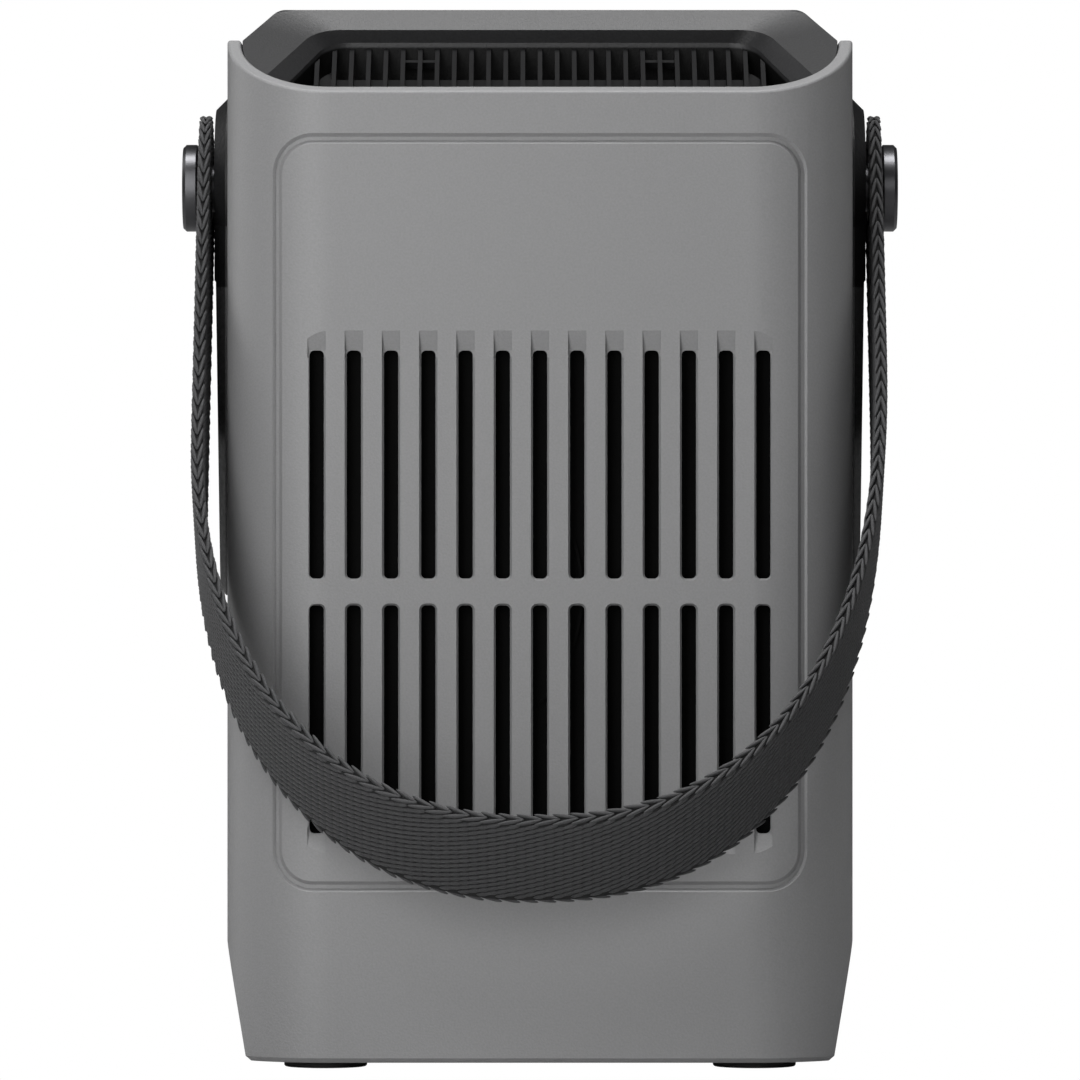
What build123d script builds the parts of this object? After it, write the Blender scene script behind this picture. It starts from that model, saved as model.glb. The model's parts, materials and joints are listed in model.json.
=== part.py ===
from build123d import *
from math import cos, pi, radians, sin, sqrt
import os

# Compact DC power station with a swinging webbing handle.
# Millimetres, +Z up, X across the width. The vented back faces -Y and the control panel faces +Y.
# The origin is the centre of the footprint, on the surface that the rubber feet stand on.

# ---- driving dimensions ----
body_w = 131.0
body_d = 109.0
body_h = 225.0
corner_r = 22.0
wall = 2.9
foot_gap = 1.35                # from the table up to the shell
taper_top_z = 26.0             # the sides lean in below this height
taper_in = 4.4
rear_rim_z = 202.6             # the rim is low at the back and high along the sides
rim_slope = 28.2
side_rim_z = 214.4
top_rise = 3.0                 # the lid's flat top climbs gently toward the front
top_rear_z = 221.6
top_rear_y = -18.9
fit_gap = 0.25
taper_h = taper_top_z - foot_gap

# vents and the outline on the back
slot_count = 13
slot_pitch = 7.715
slot_w = 3.0
slot_mouth_w = 3.8
slot_mouth_depth = 0.8
slot_rows = [(101.7, 149.0), (48.8, 96.2)]
ramp_len = 4.1
ramp_depth = 1.3
outline_w = 109.0
outline_z = (37.9, 192.9)
outline_r = 7.4
groove_floor_w = 0.8
groove_depth = 0.75
groove_flare = 0.7

# strap and its pivots
pivot_z = 184.7
strap_w = 32.0
strap_t = 2.8
strap_x = 71.25                # middle of the webbing at the pivot
strap_drop = 165.6             # pivot to the bottom of the loop
strap_straight = 39.3          # straight run below the pivot
strap_power = 2.414            # squareness of the loop's bend
strap_tilt = 32.4              # the hanging loop leans on the rear corners
strap_end = 15.3               # webbing past the pivot
bush_r = 7.0
shank_r = 5.0
running_gap = 0.05
head_r = 9.25
head_t = 3.1
cover_x = 68.9
boss_r = 19.1
cover_leg_w = 34.0
cover_bottom_z = 98.0

# battery
cell_r = 16.5
cell_h = 140.0
cell_pitch = 33.6
cell_z = 11.0
holder_w = 103.0
holder_d = 70.0
holder_h = 8.0
holder_lap = 5.0
terminal_r = 5.0
terminal_h = 3.0
bar_t = 0.8

# control panel on the front
window_w = 85.0
window_z = (96.0, 185.0)
window_r = 6.0
panel_lap = 3.4
panel_t = 3.0
panel_y = body_d / 2 - wall - 0.2      # outer face of the panel, behind the front wall
socket_at = (21.0, 168.0)
socket_r = 10.5
socket_depth = 34.0
jack_at = (21.0, 139.0)
jack_r = 4.0
display_at = (-16.0, 139.0)
display_w = 46.0
display_h = 25.0
button_z = 111.0
button_r = 6.0
button_travel = 0.8
usb_xs = (-30.0, -11.0)
usb_c_z = 176.0
usb_a_z = 162.0
board_y = 38.0

# fan behind the vents
fan_z = 98.9
fan_size = 60.0
fan_t = 10.0
fan_bore_r = 28.5
blade_count = 7

# upper deck
deck_z = 157.0
board_t = 1.6

# funnel in the lid: far edge up the slope, half width there, and spread per millimetre toward the back
funnel_rims = [
    {"depth": 0.0, "far": 40.4, "half": 58.0, "spread": 0.45, "corner": 14.0},
    {"depth": 2.0, "far": 34.5, "half": 47.1, "spread": 0.444, "corner": 8.0},
    {"depth": 5.0, "far": 34.5, "half": 44.6, "spread": 0.406, "corner": 7.0},
]
well_depth = 14.0
well_floor = 2.0
skirt_z = 194.0
well_low_z = 180.0
lid_wall = 2.5
lid_bevel = 12.0                # height of the 45 degree bevel, before the top is cut off
crown_r = 3.5
lid_hollow_z = (213.5, 218.5)    # the hollow under the lid narrows where the bevel leans in
rib_count = 27
rib_pitch = 3.6
rib_w = 0.95
rib_depth = (6.0, 11.0)

# base, feet and screws
base_z = (foot_gap, 5.5)
foot_r = 8.65
foot_at = (44.7, 41.5)
post_at = (34.0, 47.6)
screw_r = 1.45

back_y = -body_d / 2
inner_w = body_w - 2 * wall
inner_d = body_d - 2 * wall
inner_r = corner_r - wall


def save(piece, name):
    piece.label = name
    export_step(piece, f"parts/{name}.step")


def slope_plane(depth=0.0):
    """The plane of the slanted rear rim, moved down into the body by depth."""
    normal = (0, -sin(radians(rim_slope)), cos(radians(rim_slope)))
    return Plane(origin=(0, back_y, rear_rim_z), x_dir=(1, 0, 0), z_dir=normal).offset(-depth)


def body_block(inset, low_z, high_z):
    """The body's outer form, every wall moved in by inset, with the leaning lower sides."""
    half = body_w / 2 - inset
    with BuildPart() as block:
        with BuildSketch(Plane.XY.offset(low_z)):
            RectangleRounded(body_w - 2 * inset, body_d - 2 * inset, corner_r - inset)
        extrude(amount=high_z - low_z)
        with BuildSketch(Plane.XZ):
            with BuildLine():
                Polyline(
                    (half, taper_top_z),
                    (half + 20, taper_top_z),
                    (half + 20, foot_gap - 5),
                    (half - taper_in * (taper_h + 5) / taper_h, foot_gap - 5),
                    close=True,
                )
            make_face()
            mirror(about=Plane.YZ)
        extrude(amount=body_d, both=True, mode=Mode.SUBTRACT)
    return block.part


def strap_loop(offset, count=9):
    """Points of half the hanging loop, from the straight run to the bottom, in the loop's own plane."""
    across = strap_x + offset
    down = strap_drop + offset - strap_straight
    points = []
    for i in range(count):
        turn = (pi / 2) * i / (count - 1)
        x = across * cos(turn) ** (2 / strap_power) if i < count - 1 else 0.0
        y = strap_straight + down * sin(turn) ** (2 / strap_power)
        points.append((x, -y))
    return points


def vent_columns():
    return [slot_pitch * (i - slot_count // 2) for i in range(slot_count)]


def vent_ramps():
    """Every shallow ramp, as one cutter."""
    with BuildPart() as ramps:
        for direction, z in ((1, slot_rows[0][1]), (-1, slot_rows[1][0])):
            for x in vent_columns():
                with BuildSketch(Plane.YZ.offset(x - slot_mouth_w / 2)):
                    with BuildLine():
                        Polyline(
                            (back_y - 1, z - direction * 1.5),
                            (back_y + ramp_depth, z - direction * 1.5),
                            (back_y + ramp_depth, z),
                            (back_y, z + direction * ramp_len),
                            (back_y - 1, z + direction * ramp_len),
                            close=True,
                        )
                    make_face()
                extrude(amount=slot_mouth_w)
    return ramps.part


def outline_ring():
    """The groove's cutter: it follows the curved back at an even depth."""
    middle = (outline_z[0] + outline_z[1]) / 2
    height = outline_z[1] - outline_z[0]
    with BuildPart() as ring:
        with BuildSketch(Plane.XZ.offset(-back_y - 8)):
            with Locations((0, middle)):
                RectangleRounded(
                    outline_w + groove_floor_w,
                    height + groove_floor_w,
                    outline_r + groove_floor_w / 2,
                )
                RectangleRounded(outline_w - groove_floor_w, height - groove_floor_w,
                                 outline_r - groove_floor_w / 2, mode=Mode.SUBTRACT)
        extrude(amount=12)
        add(body_block(groove_depth, foot_gap, side_rim_z), mode=Mode.SUBTRACT)
    return ring.part


def on_back_skin(edge):
    """Whether an edge lies on the shell's outer skin, at the back."""
    spot = edge @ 0.5
    side = max(abs(spot.X) - (body_w / 2 - corner_r), 0)
    back = -spot.Y - (body_d / 2 - corner_r)
    return abs(sqrt(side**2 + back**2) - corner_r) < 0.1


os.makedirs("parts", exist_ok=True)

# ---- outer shell: one grey moulding, open at the top and the bottom ----
with BuildPart() as outer_shell:
    add(body_block(0, foot_gap, side_rim_z))
    bottom_edges = outer_shell.faces().sort_by(Axis.Z)[0].outer_wire().edges()
    chamfer(bottom_edges, 1.0)
    add(body_block(wall, foot_gap - 5, side_rim_z + 5), mode=Mode.SUBTRACT)
    with BuildSketch(slope_plane()):
        Rectangle(body_w + 40, 100)
    extrude(amount=60, mode=Mode.SUBTRACT)
    rim_edges = outer_shell.edges().filter_by(lambda e: e.center().Z > rear_rim_z - 1)
    fillet(rim_edges.filter_by(lambda e: e.bounding_box().min.Z > rear_rim_z - 1), 0.7)

    # posts that take the base screws
    with BuildSketch(Plane.XY.offset(5.6)):
        with GridLocations(2 * post_at[0], 2 * post_at[1], 2, 2):
            Circle(4.8)
    extrude(amount=16)
    with BuildSketch(Plane.XY.offset(5.6)):
        with GridLocations(2 * post_at[0], 2 * post_at[1], 2, 2):
            Circle(screw_r + running_gap)
    extrude(amount=12, mode=Mode.SUBTRACT)

    # window for the control panel
    with BuildSketch(Plane.XZ.offset(-inner_d / 2 + 5)):
        with Locations((0, sum(window_z) / 2)):
            RectangleRounded(window_w, window_z[1] - window_z[0], window_r)
    extrude(amount=-20, mode=Mode.SUBTRACT)

    # strap bolt holes
    with BuildSketch(Plane.YZ):
        with Locations((0, pivot_z)):
            Circle(shank_r + 0.2)
    extrude(amount=body_w, both=True, mode=Mode.SUBTRACT)

    # vent slots with flared mouths
    slot_spots = [(x, (low + high) / 2) for x in vent_columns() for low, high in slot_rows]
    slot_h = slot_rows[0][1] - slot_rows[0][0]
    with BuildSketch(Plane.XZ.offset(-back_y)):
        with Locations(*slot_spots):
            RectangleRounded(slot_mouth_w, slot_h + 0.8, 1.4)
    extrude(amount=-slot_mouth_depth, taper=26, mode=Mode.SUBTRACT)
    with BuildSketch(Plane.XZ.offset(-back_y)):
        with Locations(*slot_spots):
            RectangleRounded(slot_w, slot_h, 1.0)
    extrude(amount=-wall - 2, mode=Mode.SUBTRACT)

    # ramps that run out of the outer ends of the slots
    add(vent_ramps(), mode=Mode.SUBTRACT)

    # raised outline around the vents: a narrow groove with broad flared sides
    add(outline_ring(), mode=Mode.SUBTRACT)
    mouth_edges = outer_shell.edges(Select.LAST).filter_by(on_back_skin)
    chamfer(mouth_edges, groove_flare)
save(outer_shell.part, "outer_shell")


# ---- lid: a dark moulding that plugs the shell's top, with a funnel for the air outlet ----
def funnel_outline(rim, shrink=0.0):
    """One level of the funnel in the sloping plane: straight far edge, sides that spread toward the back."""
    far = rim["far"] - shrink
    half = rim["half"] - shrink
    near = half + rim["spread"] * (far + 12)
    with BuildSketch(slope_plane(rim["depth"])) as outline:
        with BuildLine():
            Polyline((-half, far), (half, far), (near, -12), (-near, -12), close=True)
        make_face()
        far_corners = outline.vertices().sort_by(Axis.Y)[-2:]
        fillet(far_corners, rim["corner"] - shrink)
    return outline.sketch


def lid_plug(inset, low_z, high_z):
    """An upright block with the outline of the shell's cavity, moved in by inset."""
    with BuildPart() as plug:
        with BuildSketch(Plane.XY.offset(low_z)):
            RectangleRounded(inner_w - 2 * inset, inner_d - 2 * inset, inner_r - inset)
        extrude(amount=high_z - low_z)
    return plug.part


def below_slope(block, depth):
    """The piece of a block that lies below the sloping plane at a depth."""
    with BuildPart() as piece:
        add(block)
        with BuildSketch(slope_plane(depth)):
            Rectangle(400, 400)
        extrude(amount=120, mode=Mode.SUBTRACT)
    return piece.part


with BuildPart() as funnel_top:
    add(funnel_outline(funnel_rims[0]))
    add(funnel_outline(funnel_rims[1]))
    loft(ruled=True)

with BuildPart() as funnel_well:
    add(funnel_outline(funnel_rims[1]))
    add(funnel_outline(funnel_rims[2]))
    loft(ruled=True)
    add(funnel_outline(funnel_rims[2]))
    extrude(amount=-(well_depth - funnel_rims[2]["depth"]))
    add(lid_plug(fit_gap + 1.5, 170, 230), mode=Mode.INTERSECT)

with BuildPart() as top_cap:
    add(lid_plug(fit_gap, skirt_z, side_rim_z))
    with BuildSketch(Plane.XY.offset(well_low_z)):
        RectangleRounded(inner_w - 2 * fit_gap, inner_d - 2 * fit_gap, inner_r - fit_gap)
        with Locations((0, back_y + 20)):
            Rectangle(108, 40, mode=Mode.INTERSECT)
    extrude(amount=side_rim_z - well_low_z)
    with BuildSketch(Plane.XY.offset(side_rim_z)):
        RectangleRounded(inner_w - 2 * fit_gap, inner_d - 2 * fit_gap, inner_r - fit_gap)
    extrude(amount=lid_bevel, taper=45)
    top_normal = (0, -sin(radians(top_rise)), cos(radians(top_rise)))
    with BuildSketch(Plane(origin=(0, top_rear_y, top_rear_z), x_dir=(1, 0, 0), z_dir=top_normal)):
        Rectangle(300, 300)
    extrude(amount=30, mode=Mode.SUBTRACT)
    crown = top_cap.faces().filter_by(Axis((0, 0, 0), top_normal)).sort_by(Axis.Z)[-1]
    fillet(crown.outer_wire().edges(), crown_r)
    with BuildSketch(slope_plane()):
        Rectangle(400, 400)
    extrude(amount=120, mode=Mode.SUBTRACT)
    add(funnel_top.part, mode=Mode.SUBTRACT)
    add(funnel_well.part, mode=Mode.SUBTRACT)
    for inset, high_z in ((lid_wall, lid_hollow_z[0]), (lid_wall + 5, lid_hollow_z[1])):
        hollow = lid_plug(fit_gap + inset, well_low_z - 10, high_z)
        add(below_slope(hollow, well_depth + well_floor), mode=Mode.SUBTRACT)
    with BuildSketch(slope_plane(well_depth - 1)):
        with Locations((0, 17)):
            with GridLocations(18, 1, 5, 1):
                RectangleRounded(13, 22, 2)
    extrude(amount=-6, mode=Mode.SUBTRACT)
save(top_cap.part, "top_cap")

# ---- air outlet grille: thin ribs over a frame, set down in the well ----
grille_outline = funnel_outline(funnel_rims[2], shrink=0.25)
with BuildPart() as top_grille:
    with BuildSketch(slope_plane(rib_depth[0])):
        with Locations((0, 15)):
            with GridLocations(rib_pitch, 1, rib_count, 1):
                Rectangle(rib_w, 60)
    extrude(amount=-(rib_depth[1] - rib_depth[0]))
    with BuildSketch(slope_plane(rib_depth[1] - 1)):
        with Locations((0, 15)):
            Rectangle(140, 60)
        with Locations((0, 8.5), (0, 20), (0, 30)):
            Rectangle(88, 6.5, mode=Mode.SUBTRACT)
    extrude(amount=-2)
    tab_spots = [(side * (rib_pitch * gap), 29.6) for side in (-1, 1) for gap in (6.5, 7.5)]
    with BuildSketch(slope_plane(rib_depth[0] + 1)):
        with Locations(*tab_spots):
            Rectangle(rib_pitch - rib_w + 0.2, 1.2)
    extrude(amount=-1.4)
    add(grille_outline)
    extrude(amount=-(well_depth - funnel_rims[2]["depth"]), mode=Mode.INTERSECT)
    add(lid_plug(fit_gap + 1.8, 170, 230), mode=Mode.INTERSECT)
save(top_grille.part, "top_grille")


# ---- base plate, feet and base screws ----
with BuildPart() as base_plate:
    add(body_block(wall + fit_gap, base_z[0], base_z[1]))
    with BuildSketch(Plane.XY.offset(base_z[0])):
        with GridLocations(2 * post_at[0], 2 * post_at[1], 2, 2):
            Circle(3.2)
    extrude(amount=1.9, mode=Mode.SUBTRACT)
    with BuildSketch(Plane.XY.offset(base_z[0])):
        with GridLocations(2 * post_at[0], 2 * post_at[1], 2, 2):
            Circle(screw_r + 0.2)
    extrude(amount=5, mode=Mode.SUBTRACT)
save(base_plate.part, "base_plate")

with BuildPart() as rubber_feet:
    with BuildSketch(Plane.XY):
        with GridLocations(2 * foot_at[0], 2 * foot_at[1], 2, 2):
            Circle(foot_r)
    extrude(amount=base_z[0])
    fillet(rubber_feet.edges().group_by(Axis.Z)[0], 0.5)
save(rubber_feet.part, "rubber_feet")

with BuildPart() as base_screws:
    with BuildSketch(Plane.XY.offset(base_z[0] + 0.1)):
        with GridLocations(2 * post_at[0], 2 * post_at[1], 2, 2):
            Circle(2.9)
            RegularPolygon(1.4, 6, mode=Mode.SUBTRACT)
    extrude(amount=1.2)
    with BuildSketch(Plane.XY.offset(base_z[0] + 1.3)):
        with GridLocations(2 * post_at[0], 2 * post_at[1], 2, 2):
            Circle(2.9)
    extrude(amount=0.6)
    with BuildSketch(Plane.XY.offset(base_z[0] + 1.9)):
        with GridLocations(2 * post_at[0], 2 * post_at[1], 2, 2):
            Circle(screw_r)
    extrude(amount=11)
save(base_screws.part, "base_screws")

# ---- strap pivots: a cover, a bolt and a nut on each side ----
with BuildPart() as side_cover:
    with BuildSketch(Plane.YZ.offset(body_w / 2)):
        with Locations((0, pivot_z)):
            Circle(boss_r)
        with Locations((0, (pivot_z + cover_bottom_z) / 2)):
            Rectangle(cover_leg_w, pivot_z - cover_bottom_z)
    extrude(amount=cover_x - body_w / 2)
    lower_corners = side_cover.edges().filter_by(Axis.X).group_by(Axis.Z)[0]
    fillet(lower_corners, 7)
    chamfer(side_cover.faces().sort_by(Axis.X)[-1].outer_wire().edges(), 2.4)
    with BuildSketch(Plane.XZ):
        with BuildLine():
            Polyline(
                (cover_x - 0.3, pivot_z - boss_r - 1),
                (cover_x + 5, pivot_z - boss_r - 1),
                (cover_x + 5, cover_bottom_z - 5),
                (cover_x - 1.4, cover_bottom_z - 5),
                close=True,
            )
        make_face()
    extrude(amount=body_d, both=True, mode=Mode.SUBTRACT)
    with BuildSketch(Plane.YZ):
        with Locations((0, pivot_z)):
            Circle(shank_r + 0.2)
    extrude(amount=body_w, mode=Mode.SUBTRACT)

with BuildPart() as strap_bolt:
    head_x = strap_x + strap_t / 2 + 0.25
    with BuildSketch(Plane.YZ.offset(head_x)):
        with Locations((0, pivot_z)):
            Circle(head_r)
    extrude(amount=head_t)
    chamfer(strap_bolt.edges().group_by(Axis.X)[-1], 0.7)
    fillet(strap_bolt.edges().group_by(Axis.X)[0], 0.3)
    with BuildSketch(Plane.YZ.offset(head_x + head_t)):
        with Locations((0, pivot_z)):
            RegularPolygon(3.6, 6)
    extrude(amount=-2.2, mode=Mode.SUBTRACT)
    with BuildSketch(Plane.YZ.offset(head_x)):
        with Locations((0, pivot_z)):
            Circle(shank_r)
    extrude(amount=-(head_x - inner_w / 2 + 6))

with BuildPart() as strap_nut:
    with BuildSketch(Plane.YZ.offset(inner_w / 2 - 0.2)):
        with Locations((0, pivot_z)):
            RegularPolygon(8.2, 6)
            Circle(shank_r + running_gap, mode=Mode.SUBTRACT)
    extrude(amount=-5)

with BuildPart() as strap_bush:
    with BuildSketch(Plane.YZ.offset(strap_x - strap_t / 2)):
        with Locations((0, pivot_z)):
            Circle(bush_r)
            Circle(shank_r + running_gap, mode=Mode.SUBTRACT)
    extrude(amount=strap_t)

for piece, name in ((side_cover, "side_cover"), (strap_bolt, "strap_bolt"), (strap_bush, "strap_bush")):
    save(piece.part, f"{name}_right")
    save(mirror(piece.part, about=Plane.YZ), f"{name}_left")

with BuildPart() as strap_nuts:
    add(strap_nut.part)
    mirror(about=Plane.YZ)
save(strap_nuts.part, "strap_nuts")

# ---- webbing strap: one band that hangs in a tilted loop ----
tilt = radians(strap_tilt)
loop_plane = Plane(origin=(0, 0, pivot_z), x_dir=(1, 0, 0), z_dir=(0, -cos(tilt), sin(tilt)))
with BuildPart() as carry_strap:
    with BuildSketch(loop_plane):
        with BuildLine():
            outer = strap_loop(strap_t / 2)
            inner = strap_loop(-strap_t / 2)
            Line((outer[0][0], 0), outer[0])
            Spline(*outer, tangents=[(0, -1), (-1, 0)])
            Line(outer[-1], inner[-1])
            Spline(*inner, tangents=[(0, -1), (-1, 0)])
            Line(inner[0], (inner[0][0], 0))
            Line((inner[0][0], 0), (outer[0][0], 0))
        make_face()
        mirror(about=Plane.YZ)
    extrude(amount=strap_w / 2, both=True)
    end_drop = strap_w / 2 - strap_end
    for side in (-1, 1):
        with BuildSketch(Plane.YZ.offset(side * strap_x - strap_t / 2)):
            with Locations((-end_drop * sin(tilt), pivot_z - end_drop * cos(tilt))):
                Circle(strap_w / 2)
        extrude(amount=strap_t)
    with BuildSketch(Plane.YZ):
        with Locations((0, pivot_z)):
            Circle(bush_r)
    extrude(amount=body_w, both=True, mode=Mode.SUBTRACT)
save(carry_strap.part, "carry_strap")

# ---- control panel, with a hole for everything that looks through it ----
panel_mid_z = sum(window_z) / 2
panel_back_y = panel_y - panel_t
button_xs = {"power_button": -24.0, "dc_button": 0.0, "usb_button": 24.0}
button_spots = [(x, button_z) for x in button_xs.values()]
usb_a_spots = [(x, usb_a_z) for x in usb_xs]
usb_c_spots = [(x, usb_c_z) for x in usb_xs]
flange_t = 1.2
flap_t = 1.6
flap_back_y = panel_y + flange_t + 0.15
flap_hinge_y = flap_back_y + 0.6
barrel_r = 1.3
cover_pin_r = 0.7
lug_h = 3.0
covers = {
    "car_socket_cover": {
        "at": socket_at,
        "size": 31.0,
        "hinge_x": 37.8,
        "stub_r": socket_r - 0.9,
        "stub": 3.0,
    },
    "dc_input_cover": {
        "at": jack_at,
        "size": 17.0,
        "hinge_x": 30.8,
        "stub_r": jack_r - 0.6,
        "stub": 2.0,
    },
}


def front_plane(y):
    """An upright plane at y. Its own x runs along +X, and extrude goes from it toward the back."""
    return Plane(origin=(0, y, 0), x_dir=(1, 0, 0), z_dir=(0, -1, 0))


def front_bar(centre, radius, front_y, back_y):
    """A round bar along Y."""
    with BuildPart() as bar:
        with BuildSketch(front_plane(front_y)):
            with Locations(centre):
                Circle(radius)
        extrude(amount=front_y - back_y)
    return bar.part


def lug_spots(cover):
    middle = cover["at"][1]
    reach = cover["size"] / 2 - lug_h
    return [middle - reach - lug_h, middle + reach]


with BuildPart() as front_panel:
    with BuildSketch(front_plane(panel_y)):
        with Locations((0, panel_mid_z)):
            RectangleRounded(
                window_w + 2 * panel_lap,
                window_z[1] - window_z[0] + 2 * panel_lap - 1,
                window_r,
            )
    extrude(amount=panel_t)
    for cover in covers.values():
        for low_z in lug_spots(cover):
            with BuildSketch(Plane.XY.offset(low_z)):
                with Locations((cover["hinge_x"], flap_hinge_y)):
                    Circle(barrel_r)
                with Locations((cover["hinge_x"], (panel_y + flap_hinge_y) / 2)):
                    Rectangle(2 * barrel_r, flap_hinge_y - panel_y)
            extrude(amount=lug_h)
        with BuildSketch(Plane.XY):
            with Locations((cover["hinge_x"], flap_hinge_y)):
                Circle(cover_pin_r)
        extrude(amount=body_h, mode=Mode.SUBTRACT)
    with BuildSketch(front_plane(panel_y)):
        with Locations(display_at):
            RectangleRounded(display_w + 0.4, display_h + 0.4, 2)
    extrude(amount=1, mode=Mode.SUBTRACT)
    with BuildSketch(front_plane(panel_y)):
        with Locations(display_at):
            RectangleRounded(display_w - 4, display_h - 4, 1.5)
        with Locations(socket_at):
            Circle(socket_r + 2.1)
        with Locations(jack_at):
            Circle(jack_r + 1.6)
        with Locations(*button_spots):
            Circle(button_r + 0.15)
        with Locations(*usb_a_spots):
            RectangleRounded(13.5, 6.1, 0.6)
        with Locations(*usb_c_spots):
            SlotOverall(9.4, 3.7)
    extrude(amount=panel_t, mode=Mode.SUBTRACT)
save(front_panel.part, "front_panel")

# ---- display ----
with BuildPart() as display_window:
    with BuildSketch(front_plane(panel_y)):
        with Locations(display_at):
            RectangleRounded(display_w, display_h, 1.8)
    extrude(amount=0.9)
save(display_window.part, "display_window")

with BuildPart() as display_module:
    with BuildSketch(front_plane(panel_back_y - 0.2)):
        with Locations(display_at):
            Rectangle(display_w + 3, display_h + 3)
    extrude(amount=5)
save(display_module.part, "display_module")

# ---- push buttons and their switches ----
for name, x in button_xs.items():
    spot = (x, button_z)
    with BuildPart() as button:
        add(front_bar(spot, button_r, panel_y + 1.3, panel_back_y - 0.2))
        fillet(button.edges().group_by(Axis.Y)[-1], 0.5)
        add(front_bar(spot, button_r + 1, panel_back_y - 0.1, panel_back_y - 1.6))
        add(front_bar(spot, 1.5, panel_back_y - 1.6, panel_back_y - 3.5))
    save(button.part, name)

board_front_y = board_y + board_t
with BuildPart() as front_board:
    with BuildSketch(front_plane(board_front_y)):
        with Locations((0, 127)):
            Rectangle(88, 52)
    extrude(amount=board_t)
    with BuildSketch(front_plane(board_y)):
        with Locations((-16, 136)):
            Rectangle(14, 14)
        with Locations((30, 112), (-34, 112), (30, 120)):
            Rectangle(8, 5)
    extrude(amount=1.4)
save(front_board.part, "front_board")

with BuildPart() as tact_switches:
    with BuildSketch(front_plane(board_front_y + 3.6)):
        with Locations(*button_spots):
            Rectangle(6.2, 6.2)
    extrude(amount=3.6)
    with BuildSketch(front_plane(panel_back_y - 3.5 - button_travel - 0.05)):
        with Locations(*button_spots):
            Circle(1.7)
    extrude(amount=panel_back_y - 3.5 - button_travel - 0.05 - board_front_y - 3.6)
save(tact_switches.part, "tact_switches")

# ---- 12 V vehicle socket and round input jack ----
mouth_y = panel_y + flange_t
with BuildPart() as car_socket:
    add(front_bar(socket_at, socket_r + 4.3, mouth_y, panel_y))
    add(front_bar(socket_at, socket_r + 2, panel_y, mouth_y - socket_depth - 1.5))
    add(front_bar(socket_at, socket_r, mouth_y, mouth_y - socket_depth), mode=Mode.SUBTRACT)
    chamfer(car_socket.edges().group_by(Axis.Y)[-1].sort_by(Edge.length)[-1], 0.4)
    with BuildSketch(front_plane(mouth_y - socket_depth - 1.5)):
        with GridLocations(10, 1, 2, 1):
            with Locations(socket_at):
                Rectangle(5, 1)
    extrude(amount=4)
save(car_socket.part, "car_socket")

with BuildPart() as dc_input_jack:
    add(front_bar(jack_at, jack_r + 2.8, mouth_y, panel_y))
    add(front_bar(jack_at, jack_r + 1.5, panel_y, board_front_y))
    add(front_bar(jack_at, jack_r, mouth_y, mouth_y - 10), mode=Mode.SUBTRACT)
    add(front_bar(jack_at, 0.5, mouth_y - 2, mouth_y - 10.5))
save(dc_input_jack.part, "dc_input_jack")

# ---- hinged covers over the socket and the jack ----
for name, cover in covers.items():
    x, z = cover["at"]
    size = cover["size"]
    hinge_x = cover["hinge_x"]
    tongue_h = size - 2 * lug_h - 0.4
    edge_x = hinge_x - barrel_r - 0.3
    with BuildPart() as flap:
        with BuildSketch(front_plane(flap_back_y + flap_t)):
            with Locations(((x - size / 2 + edge_x) / 2, z)):
                RectangleRounded(edge_x - x + size / 2, size, 2.4)
        extrude(amount=flap_t)
        with BuildSketch(front_plane(flap_back_y + flap_t)):
            with Locations((hinge_x - 1.5, z)):
                Rectangle(3, tongue_h)
        extrude(amount=flap_t - 0.3)
        with BuildSketch(Plane.XY.offset(z - tongue_h / 2)):
            with Locations((hinge_x, flap_hinge_y)):
                Circle(barrel_r)
        extrude(amount=tongue_h)
        with BuildSketch(Plane.XY.offset(z - size)):
            with Locations((hinge_x, flap_hinge_y)):
                Circle(cover_pin_r + running_gap)
        extrude(amount=2 * size, mode=Mode.SUBTRACT)
        add(front_bar(cover["at"], cover["stub_r"], flap_back_y, mouth_y - cover["stub"]))
        with BuildSketch(front_plane(flap_back_y + flap_t)):
            with Locations((x - size / 2 + 2.2, z)):
                RectangleRounded(1.6, size / 3, 0.7)
        extrude(amount=0.5, mode=Mode.SUBTRACT)
    save(flap.part, name)

with BuildPart() as cover_pins:
    for cover in covers.values():
        x, z = cover["at"]
        with BuildSketch(Plane.XY.offset(z - cover["size"] / 2)):
            with Locations((cover["hinge_x"], flap_hinge_y)):
                Circle(cover_pin_r)
        extrude(amount=cover["size"])
save(cover_pins.part, "cover_pins")

# ---- USB ports on their own upright board ----
usb_board_y = 33.0
usb_front_y = panel_y - 0.2
with BuildPart() as usb_board:
    with BuildSketch(front_plane(usb_board_y + board_t)):
        with Locations((-20.5, 171)):
            Rectangle(42, 29)
    extrude(amount=board_t)
    with BuildSketch(front_plane(usb_board_y)):
        with Locations((-30, 178), (-11, 178), (-20.5, 163)):
            Rectangle(9, 7)
    extrude(amount=3)
save(usb_board.part, "usb_board")

with BuildPart() as usb_a_ports:
    with BuildSketch(front_plane(usb_front_y)):
        with Locations(*usb_a_spots):
            RectangleRounded(13.1, 5.7, 0.5)
    extrude(amount=usb_front_y - usb_board_y - board_t)
    with BuildSketch(front_plane(usb_front_y)):
        with Locations(*usb_a_spots):
            Rectangle(12.3, 4.9)
    extrude(amount=9, mode=Mode.SUBTRACT)
    with BuildSketch(front_plane(usb_front_y - 0.6)):
        with Locations(*[(x, z + 1.2) for x, z in usb_a_spots]):
            Rectangle(11, 1.8)
    extrude(amount=9)
save(usb_a_ports.part, "usb_a_ports")

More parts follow.
